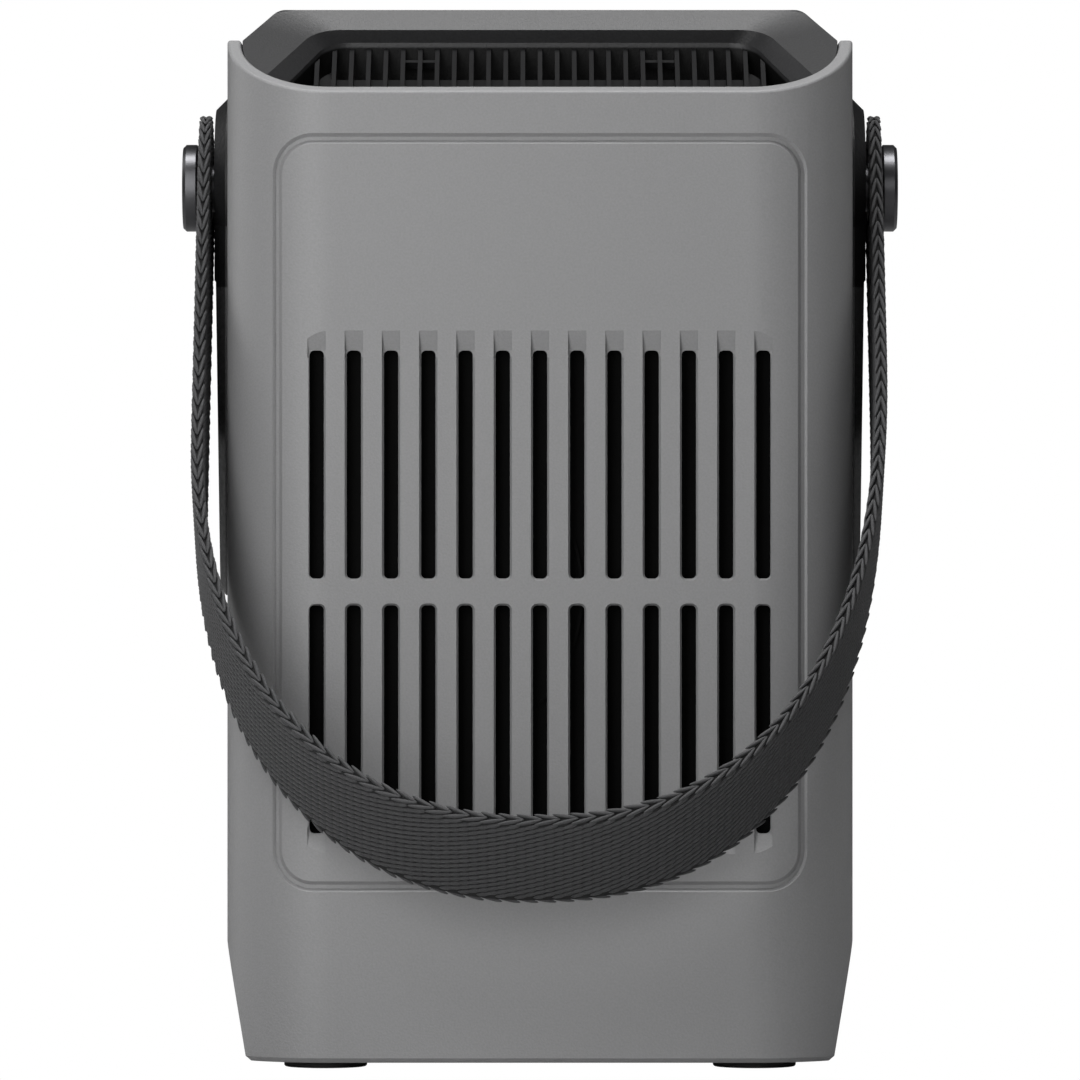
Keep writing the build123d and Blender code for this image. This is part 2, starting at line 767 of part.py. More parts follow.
with BuildPart() as usb_c_ports:
    with BuildSketch(front_plane(usb_front_y)):
        with Locations(*usb_c_spots):
            SlotOverall(9.0, 3.3)
    extrude(amount=usb_front_y - usb_board_y - board_t)
    with BuildSketch(front_plane(usb_front_y)):
        with Locations(*usb_c_spots):
            SlotOverall(8.4, 2.7)
    extrude(amount=6.5, mode=Mode.SUBTRACT)
    with BuildSketch(front_plane(usb_front_y - 0.5)):
        with Locations(*usb_c_spots):
            Rectangle(6.6, 0.7)
    extrude(amount=6.5)
save(usb_c_ports.part, "usb_c_ports")

# ---- battery: upright cells between two holders, joined by bars ----
cell_top_z = cell_z + cell_h
low_holder_z = cell_z - terminal_h
high_holder_z = cell_top_z + terminal_h - holder_h


def cell_grid():
    return GridLocations(cell_pitch, cell_pitch, 3, 2)


with BuildPart() as battery_cells:
    for radius, low_z, height in (
        (cell_r, cell_z, cell_h),
        (terminal_r, cell_z - terminal_h, cell_h + 2 * terminal_h),
    ):
        with BuildSketch(Plane.XY.offset(low_z)):
            with cell_grid():
                Circle(radius)
        extrude(amount=height)
save(battery_cells.part, "battery_cells")

for name, low_z, pocket_z in (
    ("cell_holder_bottom", low_holder_z, cell_z),
    ("cell_holder_top", high_holder_z, high_holder_z),
):
    with BuildPart() as holder:
        with BuildSketch(Plane.XY.offset(low_z)):
            RectangleRounded(holder_w, holder_d, 6)
            with cell_grid():
                Circle(terminal_r + 0.3, mode=Mode.SUBTRACT)
        extrude(amount=holder_h)
        with BuildSketch(Plane.XY.offset(pocket_z)):
            with cell_grid():
                Circle(cell_r + 0.2)
        extrude(amount=holder_lap, mode=Mode.SUBTRACT)
        if name == "cell_holder_top":
            with BuildSketch(Plane.XY.offset(low_z + holder_h)):
                with GridLocations(96, 1, 2, 1):
                    with Locations((0, -31), (0, 0)):
                        Circle(3)
            extrude(amount=deck_z - low_z - holder_h)
            with BuildSketch(Plane.XY.offset(deck_z)):
                with GridLocations(96, 1, 2, 1):
                    with Locations((0, -31), (0, 0)):
                        Circle(1.05)
            extrude(amount=-5, mode=Mode.SUBTRACT)
    save(holder.part, name)

# the cells are in series: pairs share a bar, alternately at the top and at the bottom
half_pitch = cell_pitch / 2
for name, low_z, bars in (
    ("busbars_top", cell_top_z + terminal_h, [(-cell_pitch, 0, 11, 44), (half_pitch, half_pitch, 44, 11),
                                              (half_pitch, -half_pitch, 44, 11)]),
    ("busbars_bottom", low_holder_z - bar_t, [(cell_pitch, 0, 11, 44), (-half_pitch, half_pitch, 44, 11),
                                              (-half_pitch, -half_pitch, 44, 11)]),
):
    with BuildPart() as busbars:
        with BuildSketch(Plane.XY.offset(low_z)):
            for x, y, width, depth in bars:
                with Locations((x, y)):
                    RectangleRounded(width, depth, 2)
        extrude(amount=bar_t)
    save(busbars.part, name)

# ---- battery management board beside the cells, and its two leads up to the main board ----
bms_x = -56.2
lead_ys = (-14.0, -22.0)
with BuildPart() as bms_board:
    with BuildSketch(Plane.YZ.offset(bms_x - board_t / 2)):
        with Locations((-4, 79)):
            Rectangle(60, 118)
    extrude(amount=board_t)
    with BuildSketch(Plane.YZ.offset(bms_x - board_t / 2)):
        with Locations((0, 60)):
            with GridLocations(12, 16, 3, 3):
                Rectangle(7, 9)
    extrude(amount=-2.2)
    with BuildSketch(Plane.XY.offset(134)):
        with Locations(*[(bms_x, y) for y in lead_ys]):
            Rectangle(5, 6)
    extrude(amount=8)
save(bms_board.part, "bms_board")

with BuildPart() as battery_leads:
    for y in lead_ys:
        with BuildLine() as route:
            FilletPolyline((bms_x, y, 142), (bms_x, y, 171), (-46, y, 171), (-46, y, 164), radius=4.5)
        with BuildSketch(Plane(origin=(bms_x, y, 142), z_dir=(0, 0, 1))):
            Circle(1.5)
        sweep(path=route.line)
save(battery_leads.part, "battery_leads")

# ---- main board with its heat sink, inductors and capacitors ----
board_top_z = deck_z + board_t
with BuildPart() as main_board:
    with BuildSketch(Plane.XY.offset(deck_z)):
        with Locations((0, -20)):
            Rectangle(106, 52)
        with GridLocations(96, 1, 2, 1):
            with Locations((0, -31), (0, 0)):
                Circle(1.2, mode=Mode.SUBTRACT)
    extrude(amount=board_t)
    with BuildSketch(Plane.XY.offset(board_top_z)):
        with Locations(*[(-46, y) for y in lead_ys]):
            Rectangle(6, 6)
    extrude(amount=164 - board_top_z)
save(main_board.part, "main_board")

with BuildPart() as heat_sink:
    with BuildSketch(Plane.XY.offset(board_top_z)):
        with Locations((0, -27)):
            Rectangle(58, 32)
    extrude(amount=2.5)
    with BuildSketch(Plane.XY.offset(board_top_z + 2.5)):
        with Locations((0, -27)):
            with GridLocations(4, 1, 15, 1):
                Rectangle(1.2, 32)
    extrude(amount=16)
save(heat_sink.part, "heat_sink")

with BuildPart() as inductors:
    with BuildSketch(Plane.XY.offset(board_top_z)):
        with Locations((38, -15), (38, -36)):
            Circle(7.5)
            Circle(3, mode=Mode.SUBTRACT)
    extrude(amount=8)
save(inductors.part, "inductors")

with BuildPart() as capacitors:
    with BuildSketch(Plane.XY.offset(board_top_z)):
        with Locations((0, -2)):
            with GridLocations(11, 1, 5, 1):
                Circle(4)
    extrude(amount=13)
save(capacitors.part, "capacitors")

with BuildPart() as board_screws:
    for low_z, height, radius in ((board_top_z, 1.5, 2.3), (board_top_z - 6, 6, 1.0)):
        with BuildSketch(Plane.XY.offset(low_z)):
            with GridLocations(96, 1, 2, 1):
                with Locations((0, -31), (0, 0)):
                    Circle(radius)
        extrude(amount=height)
save(board_screws.part, "board_screws")

# ---- fan behind the vents, with a dust screen in front of it ----
screen_y = back_y + wall + 1.2
fan_back_y = screen_y + 1.0
fan_front_y = fan_back_y + fan_t
fan_at = (0.0, fan_z)
rib_half_w = 8.7
rib_half_h = 23.0
rib_arc_r = (rib_half_w**2 + rib_half_h**2) / (2 * rib_half_w)

with BuildPart() as dust_screen:
    with BuildSketch(front_plane(screen_y + 0.8)):
        with Locations(fan_at):
            RectangleRounded(100, 106, 4)
    extrude(amount=0.8)
    with BuildSketch(front_plane(screen_y)):
        for side in (-1, 1):
            with Locations((side * (rib_half_w - rib_arc_r), fan_z)):
                Circle(rib_arc_r + 0.3)
                Circle(rib_arc_r - 0.3, mode=Mode.SUBTRACT)
        with Locations(fan_at):
            Rectangle(2 * rib_half_w + 1, 2 * rib_half_h, mode=Mode.INTERSECT)
    extrude(amount=1.0)
save(dust_screen.part, "dust_screen")

screw_inset = fan_size / 2 - 5
with BuildPart() as fan_frame:
    with BuildSketch(front_plane(fan_front_y)):
        with Locations(fan_at):
            RectangleRounded(fan_size, fan_size, 4)
            Circle(fan_bore_r, mode=Mode.SUBTRACT)
            with GridLocations(2 * screw_inset, 2 * screw_inset, 2, 2):
                Circle(1.7, mode=Mode.SUBTRACT)
    extrude(amount=fan_t)
    with BuildSketch(front_plane(fan_front_y)):
        with Locations(fan_at):
            Circle(11)
            with PolarLocations(fan_bore_r / 2 + 3, 3, start_angle=90):
                Rectangle(fan_bore_r - 4, 3)
    extrude(amount=1.8)
    add(front_bar(fan_at, 1.5, fan_front_y - 1.8, fan_back_y + 2))
save(fan_frame.part, "fan_frame")

rotor_front_y = fan_front_y - 2.3
rotor_back_y = fan_back_y + 0.7
with BuildPart() as fan_blade:
    hub_r = 10.5
    root_angle = 34
    for end, (radius, angle) in enumerate(((hub_r - 1, root_angle), (fan_bore_r - 0.9, root_angle - 12))):
        spoke = (cos(radians(angle)), sin(radians(angle)), 0)
        tilted = Plane(origin=(0, 0, radius), x_dir=spoke, z_dir=(0, 0, 1))
        with BuildSketch(tilted):
            Rectangle(9.0 + end * 1.0, 0.9)
    loft()

with BuildPart() as fan_rotor:
    add(front_bar(fan_at, hub_r, rotor_front_y, rotor_back_y))
    centre_y = (rotor_front_y + rotor_back_y) / 2
    for i in range(blade_count):
        add(Pos(0, centre_y, fan_z) * (Rot(0, 360 * i / blade_count, 0) * fan_blade.part))
    add(front_bar(fan_at, 1.5 + running_gap, rotor_front_y, rotor_back_y + 1.2), mode=Mode.SUBTRACT)
save(fan_rotor.part, "fan_rotor")

with BuildPart() as fan_screws:
    for x in (-screw_inset, screw_inset):
        for z in (fan_z - screw_inset, fan_z + screw_inset):
            add(front_bar((x, z), 2.8, fan_front_y + 1.5, fan_front_y))
            add(front_bar((x, z), 1.5, fan_front_y, fan_back_y + 0.1))
save(fan_screws.part, "fan_screws")
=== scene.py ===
import bpy
import json
from math import atan2, cos, pi, radians, sin, tan
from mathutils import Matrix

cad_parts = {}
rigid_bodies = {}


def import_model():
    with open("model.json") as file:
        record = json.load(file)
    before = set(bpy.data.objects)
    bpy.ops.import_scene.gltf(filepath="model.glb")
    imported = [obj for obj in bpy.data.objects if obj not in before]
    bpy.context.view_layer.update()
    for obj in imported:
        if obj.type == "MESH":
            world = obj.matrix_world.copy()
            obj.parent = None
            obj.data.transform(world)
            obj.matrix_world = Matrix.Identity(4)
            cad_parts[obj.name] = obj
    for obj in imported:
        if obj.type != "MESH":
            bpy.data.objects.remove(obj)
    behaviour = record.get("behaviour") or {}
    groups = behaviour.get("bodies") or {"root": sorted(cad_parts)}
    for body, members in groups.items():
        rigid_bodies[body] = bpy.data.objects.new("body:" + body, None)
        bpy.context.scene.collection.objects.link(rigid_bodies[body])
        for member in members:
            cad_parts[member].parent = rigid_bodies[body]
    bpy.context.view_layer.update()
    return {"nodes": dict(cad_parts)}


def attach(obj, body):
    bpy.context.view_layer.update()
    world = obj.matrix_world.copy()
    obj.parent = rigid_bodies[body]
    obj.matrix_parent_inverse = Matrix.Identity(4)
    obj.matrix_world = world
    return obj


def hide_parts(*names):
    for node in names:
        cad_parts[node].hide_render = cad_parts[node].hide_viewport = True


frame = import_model()
nodes = frame["nodes"]


def deselect():
    if bpy.context.mode != "OBJECT":
        bpy.ops.object.mode_set(mode="OBJECT")
    bpy.ops.object.select_all(action="DESELECT")


def pick(obj):
    deselect()
    obj.select_set(True)
    bpy.context.view_layer.objects.active = obj


def applyMod(obj, kind, **settings):
    pick(obj)
    mod = obj.modifiers.new(kind.title(), kind)
    for key, value in settings.items():
        setattr(mod, key, value)
    bpy.ops.object.modifier_apply(modifier=mod.name)


def settle(obj):
    pick(obj)
    bpy.ops.object.transform_apply(location=True, rotation=True, scale=True)


def grab(obj, wanted, linked=False):
    # edit mode with just the vertices selected for which wanted(co) holds
    pick(obj)
    bpy.ops.object.mode_set(mode="EDIT")
    bpy.ops.mesh.select_mode(type="VERT")
    bpy.ops.mesh.select_all(action="DESELECT")
    bpy.ops.object.mode_set(mode="OBJECT")
    for vert in obj.data.vertices:
        vert.select = wanted(vert.co)
    bpy.ops.object.mode_set(mode="EDIT")
    if linked:
        bpy.ops.mesh.select_linked()


def strand(name, place, turn, size, segments=8, rings=4):
    # one yarn float: a ball stretched along its own Z
    deselect()
    bpy.ops.mesh.primitive_uv_sphere_add(segments=segments, ring_count=rings, radius=0.5, location=place,
                                         rotation=turn, scale=size)
    obj = bpy.context.object
    obj.name = name
    settle(obj)
    bpy.ops.object.shade_smooth()
    return obj


def join(name, *parts):
    deselect()
    for part in parts:
        part.select_set(True)
    bpy.context.view_layer.objects.active = parts[0]
    bpy.ops.object.join()
    parts[0].name = name
    return parts[0]


def repeat(obj, count, step):
    applyMod(obj, "ARRAY", count=count, use_relative_offset=False, use_constant_offset=True,
             constant_offset_displace=step)


def plastic(name, colour, rough=0.5, metal=0.0, grain=0.0, grainSize=0.0004, fleck=0.0, coat=0.0, wear=0.0,
            shine=0.5):
    # grain is the bump height in metres, fleck how much single grains differ in brightness
    mat = bpy.data.materials.new(name)
    mat.use_nodes = True
    tree = mat.node_tree
    shader = tree.nodes["Principled BSDF"]
    shader.inputs["Base Color"].default_value = (*colour, 1.0)
    shader.inputs["Roughness"].default_value = rough
    shader.inputs["Metallic"].default_value = metal
    shader.inputs["Coat Weight"].default_value = coat
    shader.inputs["Specular IOR Level"].default_value = shine
    if not (grain or fleck or wear):
        return mat
    coords = tree.nodes.new("ShaderNodeTexCoord")
    noise = tree.nodes.new("ShaderNodeTexNoise")
    noise.inputs["Scale"].default_value = 1.0 / grainSize
    noise.inputs["Detail"].default_value = 2.0
    tree.links.new(coords.outputs["Object"], noise.inputs["Vector"])
    if grain:
        bump = tree.nodes.new("ShaderNodeBump")
        bump.inputs["Strength"].default_value = 1.0
        bump.inputs["Distance"].default_value = grain
        tree.links.new(noise.outputs["Fac"], bump.inputs["Height"])
        tree.links.new(bump.outputs["Normal"], shader.inputs["Normal"])
    if fleck:
        ramp = tree.nodes.new("ShaderNodeMapRange")
        ramp.inputs["From Min"].default_value = 0.3
        ramp.inputs["From Max"].default_value = 0.7
        ramp.inputs["To Min"].default_value = 1.0 - fleck
        ramp.inputs["To Max"].default_value = 1.0 + fleck
        tree.links.new(noise.outputs["Fac"], ramp.inputs["Value"])
        tint = tree.nodes.new("ShaderNodeVectorMath")
        tint.operation = "SCALE"
        tint.inputs[0].default_value = colour
        tree.links.new(ramp.outputs["Result"], tint.inputs["Scale"])
        tree.links.new(tint.outputs["Vector"], shader.inputs["Base Color"])
    if wear:
        cloud = tree.nodes.new("ShaderNodeTexNoise")
        cloud.inputs["Scale"].default_value = 60.0
        tree.links.new(coords.outputs["Object"], cloud.inputs["Vector"])
        spread = tree.nodes.new("ShaderNodeMapRange")
        spread.inputs["To Min"].default_value = rough - wear
        spread.inputs["To Max"].default_value = rough + wear
        tree.links.new(cloud.outputs["Fac"], spread.inputs["Value"])
        tree.links.new(spread.outputs["Result"], shader.inputs["Roughness"])
    return mat


finishes = {
    "shell": plastic("shellGrey", (0.235, 0.235, 0.238), rough=0.5, grain=0.00004, grainSize=0.00045, fleck=0.05),
    "lid": plastic("lidBlack", (0.026, 0.026, 0.027), rough=0.44, grain=0.00005, grainSize=0.0005, fleck=0.15,
                   shine=0.4),
    "underside": plastic("undersideBlack", (0.03, 0.03, 0.031), rough=0.5, grain=0.00005, grainSize=0.0005),
    "grille": plastic("grilleBlack", (0.007, 0.007, 0.0075), rough=0.42, grain=0.00001, wear=0.05, shine=0.25),
    "cover": plastic("coverBlack", (0.05, 0.05, 0.051), rough=0.5, grain=0.00012, grainSize=0.0009, fleck=0.2),
    "rubber": plastic("footRubber", (0.012, 0.012, 0.012), rough=0.75, grain=0.00003, grainSize=0.0006),
    "flapRubber": plastic("flapRubber", (0.025, 0.025, 0.026), rough=0.65, grain=0.00002),
    "boltMetal": plastic("boltMetal", (0.09, 0.09, 0.095), rough=0.34, metal=0.9, grain=0.000008, wear=0.05),
    "steel": plastic("screwSteel", (0.5, 0.5, 0.51), rough=0.32, metal=1.0, wear=0.06),
    "panel": plastic("panelBlack", (0.022, 0.022, 0.023), rough=0.45, grain=0.00002, grainSize=0.0004, wear=0.04),
    "glass": plastic("displayGlass", (0.008, 0.008, 0.009), rough=0.08, coat=0.4),
    "button": plastic("buttonGrey", (0.075, 0.075, 0.08), rough=0.5, grain=0.00001),
    "board": plastic("boardGreen", (0.02, 0.11, 0.05), rough=0.35, wear=0.08),
    "part": plastic("partBlack", (0.02, 0.02, 0.02), rough=0.5, wear=0.06),
    "socket": plastic("socketBlack", (0.016, 0.016, 0.016), rough=0.42, wear=0.05),
    "cell": plastic("cellBlue", (0.03, 0.11, 0.25), rough=0.3, wear=0.05),
    "holder": plastic("holderBlack", (0.025, 0.025, 0.025), rough=0.55, grain=0.00002),
    "nickel": plastic("barNickel", (0.58, 0.56, 0.5), rough=0.35, metal=1.0, wear=0.08),
    "lead": plastic("leadRed", (0.4, 0.015, 0.012), rough=0.5),
    "aluminium": plastic("sinkAluminium", (0.6, 0.6, 0.61), rough=0.4, metal=1.0, wear=0.07),
    "sleeve": plastic("capSleeve", (0.02, 0.02, 0.045), rough=0.3),
    "screen": plastic("screenBlack", (0.002, 0.002, 0.002), rough=0.7, grain=0.00005, grainSize=0.0006,
                      shine=0.05),
    "fan": plastic("fanBlack", (0.014, 0.014, 0.014), rough=0.4, wear=0.05),
}

nodeFinish = {
    "shell": ["outer_shell"],
    "lid": ["top_cap"],
    "underside": ["base_plate"],
    "grille": ["top_grille"],
    "rubber": ["rubber_feet"],
    "steel": ["base_screws", "strap_nuts", "cover_pins", "board_screws", "fan_screws", "usb_a_ports",
              "usb_c_ports"],
    "cover": ["side_cover_left", "side_cover_right"],
    "boltMetal": ["strap_bolt_left", "strap_bolt_right", "strap_bush_left", "strap_bush_right"],
    "panel": ["front_panel", "display_module"],
    "glass": ["display_window"],
    "button": ["power_button", "dc_button", "usb_button"],
    "board": ["front_board", "usb_board", "bms_board", "main_board"],
    "part": ["tact_switches", "inductors", "carry_strap"],
    "socket": ["car_socket", "dc_input_jack"],
    "flapRubber": ["car_socket_cover", "dc_input_cover"],
    "cell": ["battery_cells"],
    "holder": ["cell_holder_bottom", "cell_holder_top"],
    "nickel": ["busbars_top", "busbars_bottom"],
    "lead": ["battery_leads"],
    "aluminium": ["heat_sink"],
    "sleeve": ["capacitors"],
    "screen": ["dust_screen"],
    "fan": ["fan_frame", "fan_rotor"],
}
for finish, names in nodeFinish.items():
    for name in names:
        mesh = nodes[name].data
        mesh.materials.clear()
        mesh.materials.append(finishes[finish])


def paintShade(mat, edges, colour, shine):
    # painted shade: a darker, duller zone painted into the colour; every edge is a place and a way in, and the
    # zone is where all of them agree
    tree = mat.node_tree
    shader = tree.nodes["Principled BSDF"]
    coords = tree.nodes.new("ShaderNodeTexCoord")
    shadeMask = None
    for place, inward, blur in edges:
        offset = tree.nodes.new("ShaderNodeVectorMath")
        offset.operation = "SUBTRACT"
        offset.inputs[1].default_value = place
        tree.links.new(coords.outputs["Object"], offset.inputs[0])
        depth = tree.nodes.new("ShaderNodeVectorMath")
        depth.operation = "DOT_PRODUCT"
        depth.inputs[1].default_value = inward
        tree.links.new(offset.outputs["Vector"], depth.inputs[0])
        zone = tree.nodes.new("ShaderNodeMapRange")
        zone.inputs["From Min"].default_value = 0.0
        zone.inputs["From Max"].default_value = blur
        tree.links.new(depth.outputs["Value"], zone.inputs["Value"])
        if shadeMask is None:
            shadeMask = zone.outputs["Result"]
        else:
            both = tree.nodes.new("ShaderNodeMath")
            both.operation = "MULTIPLY"
            tree.links.new(shadeMask, both.inputs[0])
            tree.links.new(zone.outputs["Result"], both.inputs[1])
            shadeMask = both.outputs["Value"]
    mix = tree.nodes.new("ShaderNodeMix")
    mix.data_type = "RGBA"
    mix.inputs[7].default_value = (*colour, 1.0)
    tree.links.new(shadeMask, mix.inputs["Factor"])
    tree.links.new(shader.inputs["Base Color"].links[0].from_socket, mix.inputs[6])
    tree.links.new(mix.outputs[2], shader.inputs["Base Color"])
    gloss = tree.nodes.new("ShaderNodeMapRange")
    gloss.inputs["To Min"].default_value = shader.inputs["Specular IOR Level"].default_value
    gloss.inputs["To Max"].default_value = shine
    tree.links.new(shadeMask, gloss.inputs["Value"])
    tree.links.new(gloss.outputs["Result"], shader.inputs["Specular IOR Level"])


# painted shade: the well round the grille is the lid below a sloping plane and behind an upright one, painted
# near-black and dull for the deep shade inside it
wellShade = {"slope": radians(28.2), "edge": (0, -0.0545, 0.1962), "frontY": -0.010, "blur": 0.0004, "frontBlur": 0.001,
        "colour": (0.004, 0.004, 0.004), "shine": 0.1}
wellShadeFloor = (wellShade["edge"], (0, sin(wellShade["slope"]), -cos(wellShade["slope"])), wellShade["blur"])
wellShadeFront = ((0, wellShade["frontY"], 0), (0, -1, 0), wellShade["frontBlur"])
paintShade(finishes["lid"], [wellShadeFloor, wellShadeFront], wellShade["colour"], wellShade["shine"])

# painted shadow: each side cover is painted darker and less shiny round its pivot, standing in for the strap's
# shadow there
pivotShade = {"lowZ": 0.163, "blur": 0.0003, "colour": (0.008, 0.008, 0.0085), "shine": 0.3}
paintShade(finishes["cover"], [((0, 0, pivotShade["lowZ"]), (0, 0, 1), pivotShade["blur"])], pivotShade["colour"], pivotShade["shine"])
print("materials on", sum(len(names) for names in nodeFinish.values()), "nodes")


# the carrying strap is woven flat along X, then wrapped round its loop
strap = {"width": 0.032, "thick": 0.0028, "span": 0.0711, "drop": 0.1656, "lowX": -0.0022, "lean": 32.4,
         "pivotHeight": 0.1847, "endRadius": 0.016, "endDrop": 0.0007, "eyelet": 0.0069}
# each side hangs straight for a way and then bends, more or less squarely
strapBend = {-1: {"straight": 0.0725, "power": 2.165}, 1: {"straight": 0.0498, "power": 2.425}}
loopSteps = {"straight": 8, "bend": 36}


def flatCurve(name, points, closed=False):
    # a smooth curve through points in its own XY plane
    deselect()
    bpy.ops.curve.primitive_bezier_curve_add()
    obj = bpy.context.object
    obj.name = name
    obj.data.dimensions = "2D"
    obj.data.resolution_u = 8
    spline = obj.data.splines[0]
    spline.bezier_points.add(len(points) - 2)
    spline.use_cyclic_u = closed
    for knot, (x, y) in zip(spline.bezier_points, points):
        knot.co = (x, y, 0.0)
        knot.handle_left_type = "AUTO"
        knot.handle_right_type = "AUTO"
    return obj


def loopPoints():
    # down the left side, round the bottom, up the right side
    endHeight = strap["endRadius"] - strap["endDrop"]
    halves = []
    for way, bend in strapBend.items():
        straight = bend["straight"]
        wide = strap["span"] - way * strap["lowX"]
        half = []
        for step in range(loopSteps["straight"]):
            half.append((way * strap["span"], endHeight - step * (endHeight + straight) / loopSteps["straight"]))
        for step in range(loopSteps["bend"]):
            angle = (pi / 2) * step / loopSteps["bend"]
            across = cos(angle) ** (2.0 / bend["power"])
            down = sin(angle) ** (2.0 / bend["power"])
            half.append((strap["lowX"] + way * wide * across, -straight - (strap["drop"] - straight) * down))
        halves.append(half)
    return halves[0] + [(strap["lowX"], -strap["drop"])] + halves[1][::-1]


loopCurve = flatCurve("loopCurve", loopPoints())
strapLength = loopCurve.data.splines[0].calc_length()
print("strap path", round(strapLength * 1000, 1), "mm")


def wrap(obj):
    # flat X goes along the loop, flat Y is its thickness, flat Z its width
    applyMod(obj, "CURVE", object=loopCurve, deform_axis="POS_X")
    obj.rotation_euler = (radians(90.0 - strap["lean"]), 0.0, 0.0)
    obj.location = (0.0, 0.0, strap["pivotHeight"])
    settle(obj)
    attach(obj, "handle")


# the core under the yarns
core = {"sink": 0.00045, "rim": 0.0009, "step": 0.0024, "flatEnd": 0.0001, "cornerSegments": 14}
coreWidth = strap["width"] - 2 * core["rim"]
deselect()
coreLength = strapLength - 2 * core["rim"]
coreThick = strap["thick"] - 2 * core["sink"]
bpy.ops.mesh.primitive_cube_add(size=1, location=(strapLength / 2, 0, 0), scale=(coreLength, coreThick, coreWidth))
strapBand = bpy.context.object
strapBand.name = "strapBand"
settle(strapBand)
bpy.ops.object.mode_set(mode="EDIT")
bpy.ops.mesh.select_mode(type="EDGE")
bpy.ops.mesh.select_all(action="DESELECT")
bpy.ops.object.mode_set(mode="OBJECT")
for edge in strapBand.data.edges:
    a, b = (strapBand.data.vertices[v].co for v in edge.vertices)
    edge.select = abs(a.x - b.x) < 1e-6 and abs(a.z - b.z) < 1e-6
bpy.ops.object.mode_set(mode="EDIT")
bpy.ops.mesh.bevel(offset=coreWidth / 2 - core["flatEnd"], segments=core["cornerSegments"])
cuts = int(strapLength / core["step"])
for cut in range(1, cuts):
    bpy.ops.mesh.select_all(action="SELECT")
    bpy.ops.mesh.bisect(plane_co=(cut * core["step"], 0, 0), plane_no=(1, 0, 0))
bpy.ops.object.mode_set(mode="OBJECT")
for endX in (strap["endRadius"], strapLength - strap["endRadius"]):
    deselect()
    bpy.ops.mesh.primitive_cylinder_add(vertices=48, radius=strap["eyelet"], depth=0.01, location=(endX, 0, 0),
                                        rotation=(pi / 2, 0, 0))
    punch = bpy.context.object
    applyMod(strapBand, "BOOLEAN", operation="DIFFERENCE", object=punch, solver="EXACT")
    pick(punch)
    bpy.ops.object.delete()
wrap(strapBand)
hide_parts("carry_strap")

# twill face: yarn floats in slanted rows on both sides
twill = {"rowPitch": 0.00384, "slant": 25.0, "float": 0.0036, "across": 0.00125, "high": 0.0009, "margin": 0.0011,
         "inset": 0.0006, "eyeletGap": 0.0003}


def twillFace(name, side):
    stepX = twill["rowPitch"] / 2
    stepZ = stepX * tan(radians(twill["slant"]))
    reach = strap["width"] / 2 - twill["margin"] - twill["inset"]
    columns = int(strapLength / twill["rowPitch"])
    rows = int(reach / stepZ)
    faceY = side * (strap["thick"] / 2 - core["sink"])
    startX = (strapLength - (columns - 1) * twill["rowPitch"] - stepX) / 2
    size = (twill["across"], twill["high"], twill["float"])
    obj = strand(name, (startX, faceY, -rows * stepZ), (0, radians(90 - twill["slant"]), 0), size)
    repeat(obj, 2, (stepX, 0, stepZ))
    repeat(obj, columns, (twill["rowPitch"], 0, 0))
    repeat(obj, rows + 1, (0, 0, 2 * stepZ))
    # drop the floats that pass the rounded ends or lie under the bolt's bush
    endX = strap["endRadius"]
    edge = strap["width"] / 2 - twill["margin"] / 2

    def stray(co):
        nearEnd = min(co.x, strapLength - co.x)
        far = ((nearEnd - endX) ** 2 + co.z ** 2) ** 0.5
        return abs(co.z) > edge or (nearEnd < endX and far > edge) or far < strap["eyelet"] + twill["eyeletGap"]

    grab(obj, stray, linked=True)
    bpy.ops.mesh.delete(type="VERT")
    bpy.ops.object.mode_set(mode="OBJECT")
    wrap(obj)
    return obj


twillOuter = twillFace("twillOuter", -1)
twillInner = twillFace("twillInner", 1)

# braided rim: a run of chevrons, bent first round the flat strap's outline and then round the loop
braid = {"pitch": 0.00367, "arm": 0.0055, "armWide": 0.0008, "high": 0.0009, "spread": 12.5, "off": 0.00063,
         "sink": 0.00045, "segments": 10, "rings": 6, "outlineSteps": 24}
turn = strap["endRadius"] - braid["sink"]
side = strapLength - 2 * strap["endRadius"]
outline = []
steps = braid["outlineSteps"]
for goes in (1, -1):
    # clockwise: along the upper edge, round the far end, back along the lower edge, round the near end
    startX = strapLength / 2 - goes * side / 2
    endX = strapLength / 2 + goes * side / 2
    outline += [(startX + goes * side * step / steps, goes * turn) for step in range(steps)]
    outline += [(endX + goes * turn * sin(step * pi / steps), goes * turn * cos(step * pi / steps))
                for step in range(steps)]
rimCurve = flatCurve("rimCurve", outline, closed=True)
rimLength = rimCurve.data.splines[0].calc_length()
chevrons = round(rimLength / braid["pitch"])
pitch = rimLength / chevrons
arms = []
for way in (-1, 1):
    place = (pitch / 2, 0, -way * braid["off"])
    arms.append(strand("arm", place, (0, radians(90 - way * braid["spread"]), 0),
                       (braid["armWide"], braid["high"], braid["arm"]), braid["segments"], braid["rings"]))
strapBraid = join("strapBraid", *arms)
repeat(strapBraid, chevrons, (pitch, 0, 0))
applyMod(strapBraid, "CURVE", object=rimCurve, deform_axis="POS_X")
strapBraid.rotation_euler = (pi / 2, 0, 0)
settle(strapBraid)
wrap(strapBraid)

for curve in (loopCurve, rimCurve):
    pick(curve)
    bpy.ops.object.delete()

yarn = plastic("strapYarn", (0.046, 0.046, 0.048), rough=0.75, grain=0.00004, grainSize=0.00025, fleck=0.25)
yarn.node_tree.nodes["Principled BSDF"].inputs["Sheen Weight"].default_value = 0.05
coreCloth = plastic("strapCore", (0.009, 0.009, 0.0095), rough=0.9, grain=0.00004, grainSize=0.0003)
for obj, mat in ((strapBand, coreCloth), (twillOuter, yarn), (twillInner, yarn), (strapBraid, yarn)):
    obj.data.materials.clear()
    obj.data.materials.append(mat)
print("strap done,", len(strapBraid.data.polygons) + len(twillOuter.data.polygons), "faces")


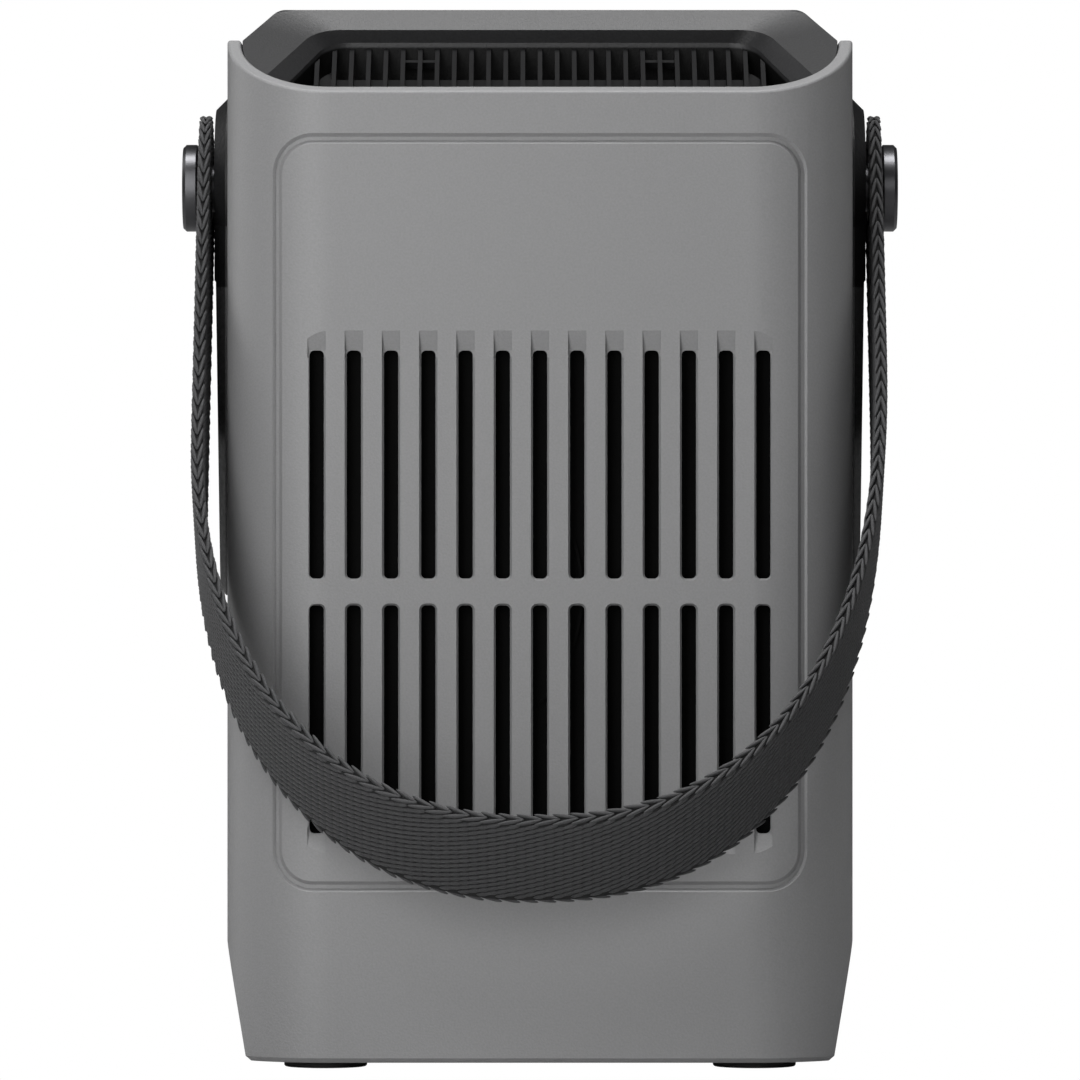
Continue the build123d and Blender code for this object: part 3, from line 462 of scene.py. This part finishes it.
# room, light and camera
room = {"size": 6.0, "height": 3.0, "foldY": 1.0, "sweep": 1.0, "floorGrey": 0.45, "skyFill": 0.03}
deselect()
bpy.ops.mesh.primitive_plane_add(size=room["size"], location=(0, 0, 0))
floor = bpy.context.object
floor.name = "floor"
grab(floor, lambda co: co.y > room["foldY"])
bpy.ops.mesh.extrude_region_move(TRANSFORM_OT_translate={"value": (0, 0, room["height"])})
grab(floor, lambda co: co.y > room["foldY"] and co.z < room["height"] / 2)
bpy.ops.mesh.bevel(offset=room["sweep"], segments=16)
bpy.ops.object.mode_set(mode="OBJECT")
bpy.ops.object.shade_smooth()
paper = plastic("paperWhite", (room["floorGrey"],) * 3, rough=0.9)
tree = paper.node_tree
glow = tree.nodes.new("ShaderNodeEmission")
glow.inputs["Strength"].default_value = 1.0
path = tree.nodes.new("ShaderNodeLightPath")
blend = tree.nodes.new("ShaderNodeMixShader")
tree.links.new(path.outputs["Is Camera Ray"], blend.inputs["Fac"])
tree.links.new(tree.nodes["Principled BSDF"].outputs["BSDF"], blend.inputs[1])
tree.links.new(glow.outputs["Emission"], blend.inputs[2])
tree.links.new(blend.outputs["Shader"], tree.nodes["Material Output"].inputs["Surface"])
floor.data.materials.append(paper)

world = bpy.data.worlds.new("studio")
bpy.context.scene.world = world
world.use_nodes = True
tree = world.node_tree
backdrop = tree.nodes["Background"]
backdrop.inputs["Color"].default_value = (1, 1, 1, 1)
path = tree.nodes.new("ShaderNodeLightPath")
level = tree.nodes.new("ShaderNodeMapRange")
level.inputs["To Min"].default_value = room["skyFill"]
level.inputs["To Max"].default_value = 1.0
tree.links.new(path.outputs["Is Camera Ray"], level.inputs["Value"])
tree.links.new(level.outputs["Result"], backdrop.inputs["Strength"])


def softbox(name, place, aim, wide, high, power):
    deselect()
    dx, dy, dz = (b - a for a, b in zip(place, aim))
    flat = (dx * dx + dy * dy) ** 0.5
    bpy.ops.object.light_add(type="AREA", location=place, rotation=(atan2(flat, -dz), 0, atan2(dy, dx) - pi / 2))
    light = bpy.context.object
    light.name = name
    light.data.shape = "RECTANGLE"
    light.data.size = wide
    light.data.size_y = high
    light.data.energy = power
    light.visible_camera = False
    return light


softboxes = {
    "keyLeft": {"place": (-0.24, -0.55, 0.2), "aim": (0.01, 0, 0.11), "wide": 0.25, "high": 0.9, "power": 3.2},
    "frontFill": {"place": (0.1, -2.3, 0.5), "aim": (0, 0, 0.1), "wide": 1.2, "high": 1.2, "power": 6},
    "sideLeft": {"place": (-1.1, 0.6, 0.35), "aim": (0, 0, 0.1), "wide": 0.5, "high": 1.0, "power": 3.2},
    "sideRight": {"place": (1.1, 0.6, 0.35), "aim": (0, 0, 0.1), "wide": 0.5, "high": 1.0, "power": 0.8},
    "overhead": {"place": (0, -0.14, 1.3), "aim": (0, 0, 0.2), "wide": 0.9, "high": 0.4, "power": 15},
}
for name, box in softboxes.items():
    softbox(name, **box)

view = {"distance": 1.9, "height": 0.1097, "lens": 297, "sensor": 36}
deselect()
bpy.ops.object.camera_add(location=(0, -view["distance"], view["height"]), rotation=(pi / 2, 0, 0))
camera = bpy.context.object
camera.data.lens = view["lens"]
camera.data.sensor_width = view["sensor"]
bpy.context.scene.camera = camera
bpy.context.scene.view_settings.view_transform = "Standard"
print("room and camera ready")
